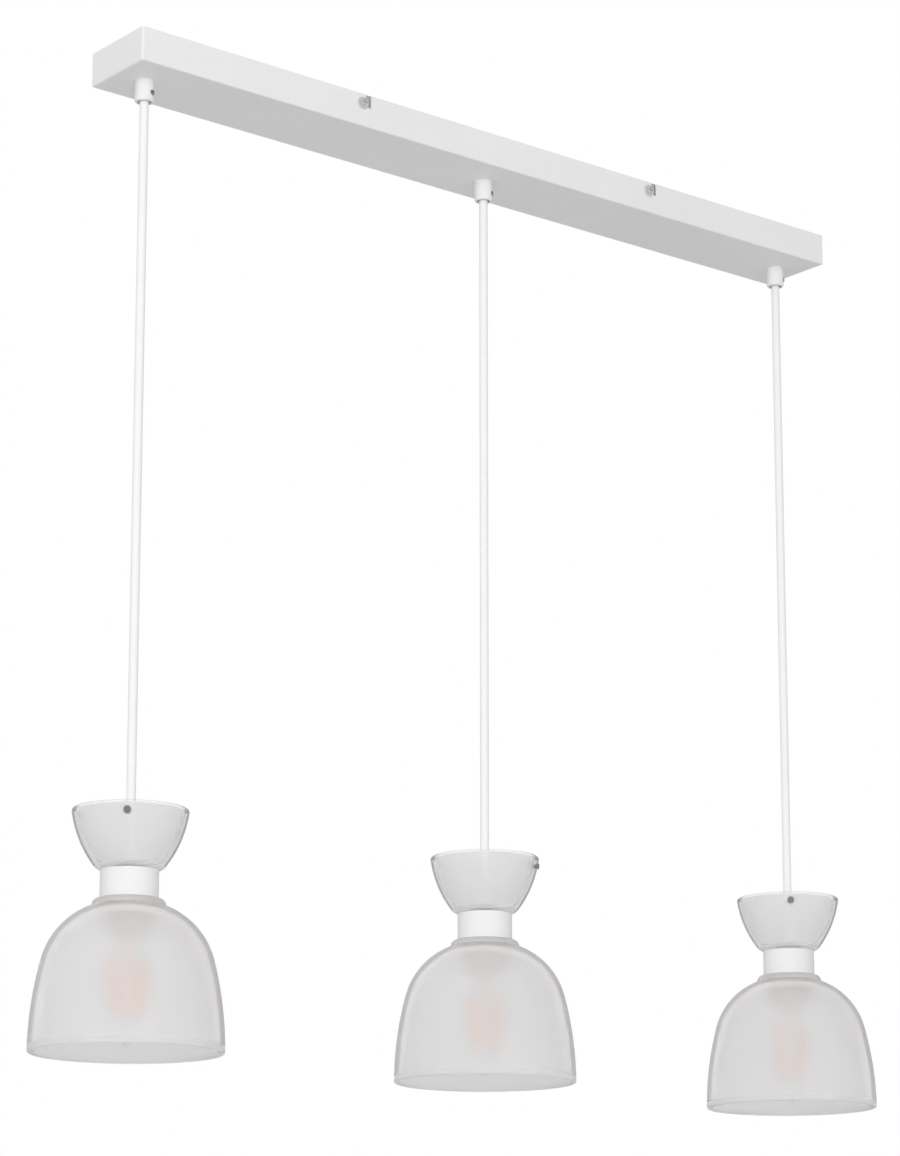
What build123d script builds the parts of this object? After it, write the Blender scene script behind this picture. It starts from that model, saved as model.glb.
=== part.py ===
"""Linear island pendant: three glass heads hanging on cords from one long sheet-steel canopy.

Millimetres, +Z up. The origin lies in the ceiling plane over the middle of the canopy, X runs
along the canopy and the face that looks into the room is towards -Y. Each head is drawn about
its own axis with z = 0 on top of the metal collar, where the upper glass cup stands, and is
then hung under its cord grip.
"""
import math
import os

from build123d import *

# ---- canopy and its ceiling bracket ----
canopy_length = 620.0
canopy_width = 60.0
canopy_height = 23.0
canopy_sheet = 1.0
canopy_corner_r = 1.6
canopy_fold_r = 1.3
ceiling_gap = 0.3          # shadow gap between the canopy's edge and the ceiling
bracket_end_gap = 14.0     # between the bracket's ends and the canopy's inside
bracket_sheet = 1.2
bracket_side_gap = 0.2     # between the bracket's tabs and the canopy's inside
bracket_tab_width = 22.0
bracket_tab_drop = 14.0
ceiling_slot_spacing = 400.0
ceiling_slot_d = 5.2
ceiling_slot_length = 16.0
supply_hole_d = 26.0
supply_hole_x = -70.0

# ---- the screws that lock the canopy, and the L-shaped slots they run in ----
lock_spacing = 262.0       # between the two screws of one long side
lock_depth = 6.8           # screw axis below the canopy's top edge
lock_travel = 5.2          # sideways, from the locked end of the slot to its open leg
lock_shank_d = 4.0
lock_slot_gap = 0.25       # each side of the shank
lock_head_d = 8.2
lock_head_height = 1.7
lock_head_edge = 0.6
lock_boss_d = 6.0
lock_boss_height = 0.7
lock_boss_edge = 0.3
lock_cross_span = 4.6      # recess for a cross-head driver
lock_cross_width = 1.1
lock_cross_depth = 1.0
lock_head_gap = 0.1        # between the head and the canopy, so that the canopy can slide

# ---- cord grips under the canopy ----
gland_inset = 22.0         # axis of an outer grip, from the canopy's end
gland_d = 12.6
gland_height = 14.5
gland_edge_r = 1.2
gland_stem_d = 10.0
gland_stem_gap = 0.2       # in the canopy's hole
gland_stem_above = 4.0     # stem standing over the canopy's floor
gland_nut_af = 14.0
gland_nut_height = 3.0
gland_bore_gap = 0.2       # round the cord
gland_mouth_d = 9.4
gland_mouth_depth = 4.1
grip_screw_d = 3.6
grip_screw_below = 8.8     # its axis under the canopy
grip_screw_proud = 0.7
grip_screw_gap = 0.1
grip_screw_edge = 0.3
grip_slot_width = 0.8
grip_slot_depth = 0.6
grip_screw_turns = (-68.0, -50.0, -38.0)   # each grip is screwed on as it comes, degrees

# ---- cord ----
cord_d = 6.0
cord_pivot_in = 0.9        # where the cord starts to bend, above the grip's lower face
cord_ball_gap = 0.05
cord_top_gap = 0.2
sheath_above_stem = 1.0
cord_core_d = 1.8
cord_core_pitch = 2.1
cord_drop = 523.5          # canopy's underside to the top of each head's collar

# ---- terminal block on the canopy's floor ----
block_x = 70.0
block_pole_pitch = 8.5
block_poles = 3
block_length = 17.0
block_height = 13.0
block_hole_d = 4.0
block_hole_up = 9.8        # above the canopy's floor
block_well_d = 3.4
block_well_spacing = 8.0
block_waist = 1.2          # groove between two poles
block_stud_d = 3.0
block_stud_gap = 0.1       # in the block's hole
block_stud_above = 1.0     # over its nut
block_edge_r = 1.0
block_nut_af = 5.5
block_nut_height = 2.4
core_bend_most = 5.0       # radius where the cores turn over
core_bend_share = 0.7      # of the height that they have to turn in
core_stack_gap = 0.1       # between two cores in one pole
core_end_gap = 1.2         # between the cores that meet in one pole
core_spread = 26.0         # length over which the cores fan out to their poles
core_fan_r = 40.0
core_spread_least = 0.5    # a core nearer its pole than this runs straight

# ---- upper glass cup ----
cup_rim_r = 37.0
cup_height = 38.5
cup_wall = 2.6
cup_floor = 3.2
cup_wall_r = 73.6          # radius of the wall's arc
cup_arc_above = 8.6        # the arc's centre above the rim
cup_foot_r = 3.0
cup_rim_edge = 0.7
cup_screw_d = 3.0
cup_screw_hole_d = 3.8
cup_screw_head_d = 5.2
cup_screw_head_height = 1.5
cup_screw_edge = 0.5
cup_screw_stand = 0.65      # off the slanting wall
cup_screw_past_nut = 0.6
cup_screw_below_rim = 6.0
cup_screw_nut_d = 5.6
cup_screw_nut_height = 1.6
cup_screw_turns = (-127.0, -41.0, -131.0)  # how each head has come to hang, degrees

# ---- collar, hollow nipple and inner cord grip ----
collar_d = 37.0
collar_height = 18.0
collar_wall = 1.2
collar_edge = 0.6
nipple_d = 10.0
nipple_bore_d = 6.6
nipple_hole_gap = 0.3
nipple_thread_gap = 0.05
nipple_below = 8.5         # under the collar's top
nipple_above = 10.0
grip_flange_d = 20.0
grip_flange_height = 1.6
grip_body_d = 13.5
grip_body_height = 12.0
grip_edge = 1.6
cord_end_above_grip = 14.0
cord_end_below = 9.5       # into the lampholder

# ---- lampholder, its contacts and its shade ring ----
holder_skirt_d = 28.0
holder_shoulder_d = 26.0
holder_cap_d = 21.0
holder_cap_height = 5.0
holder_shoulder_height = 6.0
holder_bottom = 38.0       # under the collar's top
holder_floor = 12.5
holder_bore_d = 15.6
holder_relief_inner_d = 18.6
holder_relief_outer_d = 25.0
holder_relief_depth = 14.0
contact_wall = 0.45
contact_gap = 0.05
contact_top = 16.0
contact_bottom = 34.0
tongue_d = 4.0
tongue_height = 1.4
ring_height = 5.5
ring_d = 37.6
ring_thread_gap = 0.1
ring_chamfer = 1.2

# ---- bell glass ----
bell_rim_r = 61.2
bell_wall = 2.8
bell_side_r = 232.0        # radius of the long side arc
bell_shoulder_r = 49.0     # radius of the shoulder arc, tangent to the side arc
bell_shoulder_deg = 14.6   # where the two meet, above the side arc's centre
bell_lip_r = 23.2
bell_lip_height = 4.5
bell_lip_round = 4.1
bell_roof = 4.0
bell_roof_r = 20.2
bell_hole_gap = 0.5        # round the lampholder's skirt
bell_rim_edge = 0.7

# ---- candle lamp, small screw cap ----
lamp_cap_d = 13.8
lamp_cap_top = 14.0        # under the collar's top
lamp_button_d = 4.4
lamp_button_height = 1.0
lamp_insulator_d = 9.0
lamp_insulator_height = 1.6
lamp_flange_d = 16.4
lamp_flange_height = 1.2
lamp_glass_d = 35.0
lamp_glass_top = 38.6
lamp_glass_length = 72.0
lamp_glass_wall = 1.0
lamp_neck_r = 7.8
lamp_neck_length = 5.0
lamp_tip_r = 1.5           # of the small flat at the tip
lamp_belly_at = 27.0       # below the glass's start
stem_d = 3.0
filament_count = 4
filament_d = 1.7
filament_length = 34.0
filament_circle_d = 12.0
filament_start = 20.0      # below the glass's start
filament_arm = 0.9         # side of the square wires that carry the filaments

# ---- places worked out from the sizes above ----
canopy_top = -ceiling_gap
canopy_bottom = canopy_top - canopy_height
canopy_floor = canopy_bottom + canopy_sheet
bracket_length = canopy_length - 2 * (canopy_sheet + bracket_end_gap)
pendant_spacing = canopy_length / 2 - gland_inset
gland_bottom = canopy_bottom - gland_height
cord_pivot = gland_bottom + cord_pivot_in
gland_stem_top = canopy_floor + gland_stem_above
sheath_top = gland_stem_top + sheath_above_stem
lock_z = canopy_top - lock_depth
lock_slot_d = lock_shank_d + 2 * lock_slot_gap
bracket_half = canopy_width / 2 - canopy_sheet - bracket_side_gap
head_z = canopy_bottom - cord_drop
grip_bottom = cup_floor
grip_top = grip_bottom + grip_flange_height + grip_body_height
cord_end_top = grip_top + cord_end_above_grip
bell_top = -collar_height
bell_side_centre = bell_rim_r - bell_side_r
bell_reach = bell_side_r - bell_shoulder_r
bell_shoulder_x = bell_side_centre + bell_reach * math.cos(math.radians(bell_shoulder_deg))
bell_shoulder_up = bell_reach * math.sin(math.radians(bell_shoulder_deg))
bell_dome = bell_shoulder_up + math.sqrt(bell_shoulder_r**2 - (bell_lip_r - bell_shoulder_x) ** 2)
bell_rim_z = bell_top - bell_lip_height - bell_dome
lamp_glass_start = -lamp_glass_top
pendant_places = [-pendant_spacing, 0.0, pendant_spacing]
block_stud_y = block_pole_pitch / 2


def tube(radius, bore, bottom, top):
    """An upright tube about the Z axis."""
    return rod(radius, bottom, top) - rod(bore, bottom, top)


def rod(radius, bottom, top):
    """An upright cylinder about the Z axis."""
    return Pos(0, 0, bottom) * extrude(Circle(radius), top - bottom)


def spun(outline):
    """The solid that a closed outline in the XZ plane sweeps round the Z axis."""
    return revolve(Plane.XZ * make_face(outline), Axis.Z)


def edges_at(part, z, tolerance=1e-3):
    """The edges that lie flat at one height."""
    return part.edges().filter_by_position(Axis.Z, z - tolerance, z + tolerance)


# ---------------------------------------------------------------- canopy


def lock_places():
    """Centres of the locking screws: (x, side), side -1 for the front and 1 for the back."""
    return [(x, side) for x in (-lock_spacing / 2, lock_spacing / 2) for side in (-1, 1)]


def canopy_cover():
    """Folded tray, open to the ceiling, with three grip holes and four L-shaped slots."""
    tray = Pos(0, 0, canopy_bottom) * extrude(
        RectangleRounded(canopy_length, canopy_width, canopy_corner_r), canopy_height
    )
    tray = fillet(edges_at(tray, canopy_bottom), canopy_fold_r)
    hollow = Pos(0, 0, canopy_floor) * extrude(
        RectangleRounded(
            canopy_length - 2 * canopy_sheet,
            canopy_width - 2 * canopy_sheet,
            canopy_corner_r - canopy_sheet,
        ),
        canopy_height,
    )
    tray -= hollow
    for x in pendant_places:
        tray -= Pos(x, 0) * rod(
            gland_stem_d / 2 + gland_stem_gap, canopy_bottom - canopy_sheet, canopy_floor + canopy_sheet
        )
    for x, side in lock_places():
        tray -= Pos(x, side * canopy_width / 2) * lock_slot()
    stud_top = canopy_floor + block_height + block_nut_height + block_stud_above
    return tray + Pos(block_x, block_stud_y) * rod(block_stud_d / 2, canopy_floor, stud_top)


def lock_slot():
    """Cutter for one slot: a leg open at the top edge and a short leg that ends at the screw."""
    through = 4 * canopy_sheet
    reach = lock_depth + lock_slot_d / 2
    open_leg = Pos(lock_travel, 0, canopy_top - reach / 2) * Box(lock_slot_d, through, reach)
    short_leg = Pos(lock_travel / 2, 0, lock_z) * Box(lock_travel, through, lock_slot_d)
    end = Pos(0, 0, lock_z) * Rot(90, 0, 0) * Cylinder(lock_slot_d / 2, through)
    return open_leg + short_leg + end


def ceiling_bracket():
    """Plated flat rail against the ceiling, with four tabs bent down for the locking screws."""
    plate = Pos(0, 0, -bracket_sheet) * extrude(
        Rectangle(bracket_length, 2 * bracket_half), bracket_sheet
    )
    slot = Pos(0, 0, -2 * bracket_sheet) * extrude(
        SlotOverall(ceiling_slot_length, ceiling_slot_d), 3 * bracket_sheet
    )
    for x in (-ceiling_slot_spacing / 2, ceiling_slot_spacing / 2):
        plate -= Pos(x, 0) * slot
    plate -= Pos(supply_hole_x, 0) * rod(supply_hole_d / 2, -2 * bracket_sheet, bracket_sheet)
    for x, side in lock_places():
        tab = Pos(
            x + lock_travel / 2, side * (bracket_half - bracket_sheet / 2), -bracket_tab_drop / 2
        ) * Box(bracket_tab_width, bracket_sheet, bracket_tab_drop)
        plate += tab
    for x, side in lock_places():
        bore = Cylinder(lock_shank_d / 2, 4 * bracket_sheet)
        plate -= Pos(x, side * bracket_half, lock_z) * Rot(90, 0, 0) * bore
    return plate


def lock_screw():
    """Screw pointing along -Y into the canopy's back; its head is a washer with a raised boss."""
    flange = Pos(0, 0, lock_head_gap) * extrude(Circle(lock_head_d / 2), lock_head_height)
    flange = chamfer(flange.edges().sort_by(Axis.Z)[-1], lock_head_edge)
    boss_base = lock_head_gap + lock_head_height
    boss = Pos(0, 0, boss_base) * extrude(Circle(lock_boss_d / 2), lock_boss_height)
    boss = chamfer(boss.edges().sort_by(Axis.Z)[-1], lock_boss_edge)
    for turn in (0, 90):
        blade = Box(lock_cross_span, lock_cross_width, 2 * lock_cross_depth)
        boss -= Pos(0, 0, boss_base + lock_boss_height) * Rot(0, 0, turn) * blade
        flange -= Pos(0, 0, boss_base + lock_boss_height) * Rot(0, 0, turn) * blade
    shank_end = -(canopy_sheet + bracket_side_gap + bracket_sheet + lock_shank_d / 2)
    shank = Pos(0, 0, shank_end) * extrude(Circle(lock_shank_d / 2), lock_head_gap - shank_end)
    return Rot(-90, 0, 0) * (flange + boss + shank)


def cover_screws():
    """The four locking screws."""
    screw = lock_screw()
    placed = []
    for x, side in lock_places():
        turned = screw if side > 0 else Rot(0, 0, 180) * screw
        placed.append(Pos(x, side * canopy_width / 2, lock_z) * turned)
    return placed


# ---------------------------------------------------------------- wiring inside the canopy


def terminal_block():
    """Strip of screw terminals: through holes for the cores and two screw wells a pole."""
    width = block_poles * block_pole_pitch
    block = Pos(0, 0, canopy_floor + block_height / 2) * Box(block_length, width, block_height)
    block = fillet(edges_at(block, canopy_floor + block_height), block_edge_r)
    hole_z = canopy_floor + block_hole_up
    for pole in block_pole_places():
        block -= Pos(0, pole, hole_z) * Rot(0, 90, 0) * Cylinder(block_hole_d / 2, 2 * block_length)
        for x in (-block_well_spacing / 2, block_well_spacing / 2):
            block -= Pos(x, pole) * rod(block_well_d / 2, hole_z, canopy_floor + 2 * block_height)
    for pole in block_pole_places()[:-1]:
        groove = Box(2 * block_length, block_waist, block_height)
        block -= Pos(0, pole + block_pole_pitch / 2, canopy_floor + block_height) * groove
    stud_hole_r = block_stud_d / 2 + block_stud_gap
    stud_hole = rod(stud_hole_r, canopy_floor - 1, canopy_floor + 2 * block_height)
    return Pos(block_x, 0) * (block - Pos(0, block_stud_y) * stud_hole)


def block_pole_places():
    """Y of each pole, from the front."""
    return [(i - (block_poles - 1) / 2) * block_pole_pitch for i in range(block_poles)]


def block_nut():
    """Nut that holds the terminal block on the canopy's welded stud."""
    nut = extrude(RegularPolygon(block_nut_af / 2, 6, major_radius=False), block_nut_height)
    nut -= Pos(0, 0, -1) * extrude(Circle(block_stud_d / 2 + 0.05), block_nut_height + 2)
    return Pos(block_x, block_stud_y, canopy_floor + block_height) * nut


def core_wires():
    """The cores of each cord: up out of the sheath, over, and into the terminal block."""
    wires = []
    run_z = canopy_floor + block_hole_up
    for number, x in enumerate(pendant_places):
        towards = 1 if x < block_x else -1
        stacked = (cord_core_d + core_stack_gap) / 2
        level = run_z + (stacked if number == 0 else -stacked if number == 1 else 0)
        end_x = block_x - towards * core_end_gap / 2
        for i, pole in enumerate(block_pole_places()):
            start_y = (i - (block_poles - 1) / 2) * cord_core_pitch
            turns = [(x, start_y, level)]
            radii = [min(core_bend_most, core_bend_share * (level - sheath_top))]
            if abs(pole - start_y) > core_spread_least:
                turns.append((x + towards * core_spread, pole, level))
                radii.append(core_fan_r)
            path = FilletPolyline(
                (x, start_y, sheath_top), *turns, (end_x, pole, level), radius=radii
            )
            profile = Plane(origin=path @ 0, z_dir=path % 0) * Circle(cord_core_d / 2)
            wires.append(sweep(profile, path))
    return wires


# ---------------------------------------------------------------- cord grips and cords


def cord_gland(turn):
    """Turned cord grip: stem through the canopy, wide mouth below and a threaded side hole."""
    body = Pos(0, 0, gland_bottom) * extrude(Circle(gland_d / 2), gland_height)
    body = fillet(edges_at(body, gland_bottom), gland_edge_r)
    body += rod(gland_stem_d / 2, canopy_bottom - 1.0, gland_stem_top)
    body -= rod(cord_d / 2 + gland_bore_gap, gland_bottom - 1, gland_stem_top + 1)
    body -= rod(gland_mouth_d / 2, gland_bottom - 1, gland_bottom + gland_mouth_depth)
    hole = Pos(0, 0, grip_screw_z()) * Rot(0, 90, 0) * Cylinder(
        grip_screw_d / 2 + grip_screw_gap / 2, gland_d, align=(Align.CENTER, Align.CENTER, Align.MIN)
    )
    return body - Rot(0, 0, turn) * hole


def grip_screw_z():
    """Height of the side screw's axis."""
    return canopy_bottom - grip_screw_below


def gland_screws():
    """Slotted side screws that clamp the cords."""
    screws = []
    for x, turn in zip(pendant_places, grip_screw_turns):
        inner = cord_d / 2 + gland_bore_gap / 4
        length = gland_d / 2 + grip_screw_proud - inner
        screw = extrude(Circle(grip_screw_d / 2), length)
        screw = chamfer(screw.edges().sort_by(Axis.Z)[-1], grip_screw_edge)
        screw -= Pos(0, 0, length) * Box(grip_slot_width, 2 * grip_screw_d, 2 * grip_slot_depth)
        screws.append(
            Pos(x, 0, grip_screw_z()) * Rot(0, 0, turn) * Rot(0, 90, 0) * Pos(0, 0, inner) * screw
        )
    return screws


def gland_nuts():
    """Hexagon nuts that hold the cord grips from inside the canopy."""
    nut = Pos(0, 0, canopy_floor) * extrude(
        RegularPolygon(gland_nut_af / 2, 6, major_radius=False), gland_nut_height
    )
    nut -= rod(gland_stem_d / 2 + 0.05, canopy_floor - 1, canopy_floor + gland_nut_height + 1)
    return [Pos(x, 0) * nut for x in pendant_places]


def cord_tails():
    """The sheathed cord where the grips hold it, up into the canopy."""
    bottom = cord_pivot + cord_d / 2 + cord_top_gap
    return [Pos(x, 0) * rod(cord_d / 2, bottom, sheath_top) for x in pendant_places]


def cord_bend():
    """The short stretch in the grip's mouth where the cord bends."""
    return Pos(0, 0, cord_pivot) * Sphere(cord_d / 2)


def cord_run():
    """The free cord, hollowed at its top to turn about the bend."""
    run = rod(cord_d / 2, head_z + cord_end_top, cord_pivot)
    return run - Pos(0, 0, cord_pivot) * Sphere(cord_d / 2 + cord_ball_gap)


def cord_end():
    """The cord's last stretch, through the inner grip and the nipple to the lampholder."""
    return rod(cord_d / 2, -cord_end_below, cord_end_top)


# ---------------------------------------------------------------- head


def cup_outline():
    """Half section of the cup: flat foot, arc wall and open rim."""
    centre_x = cup_rim_r - math.sqrt(cup_wall_r**2 - cup_arc_above**2)
    centre_z = cup_height + cup_arc_above
    hole_r = nipple_d / 2 + nipple_hole_gap

    def wall_point(inset, z):
        radius = cup_wall_r - inset
        return (centre_x + math.sqrt(radius**2 - (centre_z - z) ** 2), z)

    def wall(inset, low, high):
        return ThreePointArc(
            wall_point(inset, low), wall_point(inset, (low + high) / 2), wall_point(inset, high)
        )

    outer = wall(0, 0, cup_height)
    inner = wall(cup_wall, cup_floor, cup_height)
    return (
        outer
        + inner
        + Line(outer @ 1, inner @ 1)
        + Polyline(inner @ 0, (hole_r, cup_floor), (hole_r, 0), outer @ 0)
    )


def cup_wall_at(z):
    """Outer radius of the cup at a height."""
    centre_x = cup_rim_r - math.sqrt(cup_wall_r**2 - cup_arc_above**2)
    return centre_x + math.sqrt(cup_wall_r**2 - (cup_height + cup_arc_above - z) ** 2)


def cup_glass(turn):
    """Upper glass: an open cup that widens upwards, drilled once near its rim."""
    cup = spun(cup_outline())
    cup = chamfer(edges_at(cup, cup_height), cup_rim_edge)
    cup = fillet(edges_at(cup, 0).sort_by(SortBy.RADIUS)[-1], cup_foot_r)
    hole = Rot(0, 90, 0) * Cylinder(
        cup_screw_hole_d / 2, 2 * cup_rim_r, align=(Align.CENTER, Align.CENTER, Align.MIN)
    )
    return Rot(0, 0, turn) * (cup - Pos(0, 0, cup_height - cup_screw_below_rim) * hole)


def cup_screw(turn):
    """Small screw with its nut, through the hole near the cup's rim."""
    z = cup_height - cup_screw_below_rim
    outer = cup_wall_at(z)
    seat = outer + cup_screw_stand
    inner = outer - cup_wall - cup_screw_stand
    head = extrude(Circle(cup_screw_head_d / 2), cup_screw_head_height)
    head = chamfer(head.edges().sort_by(Axis.Z)[-1], cup_screw_edge)
    nut_end = inner - seat - cup_screw_nut_height
    nut = rod(cup_screw_nut_d / 2, nut_end, nut_end + cup_screw_nut_height)
    shank = rod(cup_screw_d / 2, nut_end - cup_screw_past_nut, 0)
    return Rot(0, 0, turn) * Pos(seat, 0, z) * Rot(0, 90, 0) * (head + nut + shank)


def inner_grip():
    """Moulded cord grip inside the cup, screwed on the nipple; it holds the cup down."""
    flange_top = grip_bottom + grip_flange_height
    grip = rod(grip_flange_d / 2, grip_bottom, flange_top)
    grip += rod(grip_body_d / 2, flange_top, grip_top)
    grip = chamfer(edges_at(grip, grip_top), grip_edge)
    grip -= rod(nipple_bore_d / 2, grip_bottom - 1, grip_top + 1)
    return grip - rod(nipple_d / 2 + nipple_thread_gap, grip_bottom - 1, nipple_above)


def nipple():
    """Hollow threaded tube that ties grip, cup, collar and lampholder together."""
    return tube(nipple_d / 2, nipple_bore_d / 2, -nipple_below, nipple_above)


def collar():
    """Painted steel sleeve between the two glasses, closed on top round the nipple."""
    sleeve = rod(collar_d / 2, -collar_height, 0)
    sleeve = chamfer(edges_at(sleeve, 0), collar_edge)
    sleeve -= rod(collar_d / 2 - collar_wall, -collar_height - 1, -collar_wall)
    return sleeve - rod(nipple_d / 2 + nipple_hole_gap, -collar_height, 1)


def lampholder():
    """Moulded small-screw lampholder: cap on the nipple, and a long skirt for the shade ring."""
    top = -collar_wall
    shoulder = top - holder_cap_height
    skirt = shoulder - holder_shoulder_height
    holder = rod(holder_cap_d / 2, shoulder, top)
    holder += rod(holder_shoulder_d / 2, skirt, shoulder)
    holder += rod(holder_skirt_d / 2, -holder_bottom, skirt)
    holder -= rod(nipple_d / 2 + nipple_thread_gap, -nipple_below, top + 1)
    holder -= rod(cord_d / 2 + gland_bore_gap, -cord_end_below - 0.5, -nipple_below + 1)
    holder -= rod(holder_bore_d / 2, -holder_bottom - 1, -holder_floor)
    relief = tube(
        holder_relief_outer_d / 2,
        holder_relief_inner_d / 2,
        -holder_bottom - 1,
        -holder_bottom + holder_relief_depth,
    )
    return holder - relief


def contacts():
    """Screw shell and centre tongue of the lampholder."""
    shell_r = holder_bore_d / 2 - contact_gap
    shell = tube(shell_r, shell_r - contact_wall, -contact_bottom, -contact_top)
    tongue = rod(tongue_d / 2, -holder_floor - tongue_height, -holder_floor)
    return [shell, tongue]


def shade_ring():
    """Threaded ring on the lampholder's skirt; it clamps the bell glass against the collar."""
    top = bell_top - bell_roof
    ring = rod(ring_d / 2, top - ring_height, top)
    ring = chamfer(edges_at(ring, top - ring_height), ring_chamfer)
    return ring - rod(holder_skirt_d / 2 + ring_thread_gap, top - ring_height - 1, top + 1)


def bell_glass():
    """Lower glass: a bell with a rounded lip under the collar and an open rim below."""
    shoulder_deg = bell_shoulder_deg

    def side(inset):
        centre = (bell_side_centre, bell_rim_z)
        return CenterArc(centre, bell_side_r - inset, 0, shoulder_deg)

    def shoulder(inset, end_r):
        radius = bell_shoulder_r - inset
        centre = (bell_shoulder_x, bell_rim_z + bell_shoulder_up)
        end_deg = math.degrees(math.acos((end_r - bell_shoulder_x) / radius))
        return CenterArc(centre, radius, shoulder_deg, end_deg - shoulder_deg)

    outer_side, inner_side = side(0), side(bell_wall)
    outer_shoulder = shoulder(0, bell_lip_r)
    inner_shoulder = shoulder(bell_wall, bell_roof_r)
    hole_r = holder_skirt_d / 2 + bell_hole_gap
    roof = bell_top - bell_roof
    lip_centre = (bell_lip_r - bell_lip_round, bell_top - bell_lip_round)
    bead = CenterArc(lip_centre, bell_lip_round, 0, 90)
    outline = (
        outer_side
        + outer_shoulder
        + Line(outer_shoulder @ 1, bead @ 0)
        + bead
        + Polyline(bead @ 1, (hole_r, bell_top), (hole_r, roof), (bell_roof_r, roof), inner_shoulder @ 1)
        + inner_shoulder
        + inner_side
        + Line(inner_side @ 0, outer_side @ 0)
    )
    bell = spun(outline)
    return chamfer(edges_at(bell, bell_rim_z), bell_rim_edge)


def lamp_outline(inset):
    """Outline of the lamp's glass: neck, ball-shaped belly and a straight taper to its small tip."""
    belly_r = lamp_glass_d / 2 - inset
    neck_r = lamp_neck_r - inset
    neck_z = lamp_glass_start - lamp_neck_length
    belly_z = lamp_glass_start - lamp_belly_at
    tip_z = lamp_glass_start - lamp_glass_length + inset

    def touch_deg(x, z, side):
        """Angle at which a line from (x, z) touches the belly."""
        away = math.hypot(x, z - belly_z)
        return math.degrees(math.atan2(z - belly_z, x) + side * math.acos(belly_r / away))

    high = touch_deg(neck_r, neck_z, -1)
    low = touch_deg(lamp_tip_r, tip_z, 1)
    belly = CenterArc((0, belly_z), belly_r, low, high - low)
    neck = Polyline((neck_r, lamp_glass_start), (neck_r, neck_z), belly @ 1)
    return neck + belly + Polyline(belly @ 0, (lamp_tip_r, tip_z), (0, tip_z))


def lamp_glass():
    """Clear candle bulb, hollow."""
    neck_r, tip_z = lamp_neck_r, lamp_glass_start - lamp_glass_length
    neck = Line((neck_r, lamp_glass_start), (neck_r - lamp_glass_wall, lamp_glass_start))
    tip = Line((0, tip_z), (0, tip_z + lamp_glass_wall))
    return spun(lamp_outline(0) + neck + lamp_outline(lamp_glass_wall) + tip)


def lamp_cap():
    """Screw cap with its flange, insulator and centre contact."""
    button_low = -lamp_cap_top - lamp_button_height
    insulator_low = button_low - lamp_insulator_height
    flange_low = lamp_glass_start
    cap = rod(lamp_button_d / 2, button_low, -lamp_cap_top)
    insulator = Pos(0, 0, insulator_low) * extrude(
        Circle(lamp_cap_d / 2), lamp_insulator_height, taper=math.degrees(
            math.atan((lamp_cap_d - lamp_insulator_d) / 2 / lamp_insulator_height)
        )
    )
    shell = rod(lamp_cap_d / 2, flange_low, insulator_low)
    flange = rod(lamp_flange_d / 2 - 1.0, flange_low, flange_low + lamp_flange_height / 2)
    return cap + insulator + shell + flange


def lamp_filaments():
    """Glass stem with a cage of straight filaments between two crosses of wire."""
    top = lamp_glass_start - filament_start
    bottom = top - filament_length
    cage = rod(stem_d / 2, top - filament_arm, lamp_glass_start)
    for i in range(filament_count):
        turn = Rot(0, 0, 360 / filament_count * i)
        cage += turn * Pos(filament_circle_d / 2, 0) * rod(filament_d / 2, bottom, top)
        arm = Pos(filament_circle_d / 4, 0) * Box(filament_circle_d / 2, filament_arm, filament_arm)
        for z in (top - filament_arm / 2, bottom + filament_arm / 2):
            cage += turn * Pos(0, 0, z) * arm
    return cage


# ---------------------------------------------------------------- files


def write(name, shapes):
    """One STEP file of one solid, or of a group of separate solids."""
    solids = shapes if isinstance(shapes, list) else [shapes]
    together = solids[0]
    if len(solids) > 1:
        together = Compound(children=[Solid(s.solid().wrapped) for s in solids])
    export_step(together, f"parts/{name}.step")


def main():
    os.makedirs("parts", exist_ok=True)
    write("canopy_cover", canopy_cover())
    write("ceiling_bracket", ceiling_bracket())
    write("cover_screws", cover_screws())
    write("terminal_block", terminal_block())
    write("block_nut", block_nut())
    write("core_wires", core_wires())
    write("gland_nuts", gland_nuts())
    write("gland_screws", gland_screws())
    write("cord_tails", cord_tails())
    for number, x in enumerate(pendant_places, start=1):
        gland_turn = grip_screw_turns[number - 1]
        cup_turn = cup_screw_turns[number - 1]
        above = {
            "cord_gland": cord_gland(gland_turn),
            "cord_bend": cord_bend(),
            "cord": cord_run(),
        }
        head = {
            "cord_end": cord_end(),
            "inner_grip": inner_grip(),
            "nipple": nipple(),
            "cup_glass": cup_glass(cup_turn),
            "cup_screw": cup_screw(cup_turn),
            "collar": collar(),
            "lampholder": lampholder(),
            "contacts": contacts(),
            "shade_ring": shade_ring(),
            "bell_glass": bell_glass(),
            "lamp_glass": lamp_glass(),
            "lamp_cap": lamp_cap(),
            "lamp_filaments": lamp_filaments(),
        }
        for name, shape in above.items():
            write(f"{name}_{number}", Pos(x, 0) * shape)
        for name, shape in head.items():
            hung = Pos(x, 0, head_z)
            placed = [hung * s for s in shape] if isinstance(shape, list) else hung * shape
            write(f"{name}_{number}", placed)
    print(f"canopy underside {canopy_bottom:.1f}, grip mouth {gland_bottom:.1f}, pivot {cord_pivot:.1f}")
    print(f"head {head_z:.1f}, cup rim {head_z + cup_height:.1f}, bell rim {head_z + bell_rim_z:.1f}")
    print(f"free cord {cord_pivot - head_z - cord_end_top:.1f}")


main()
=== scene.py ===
import math

import bmesh
import bpy
from mathutils import Matrix, Vector


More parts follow.
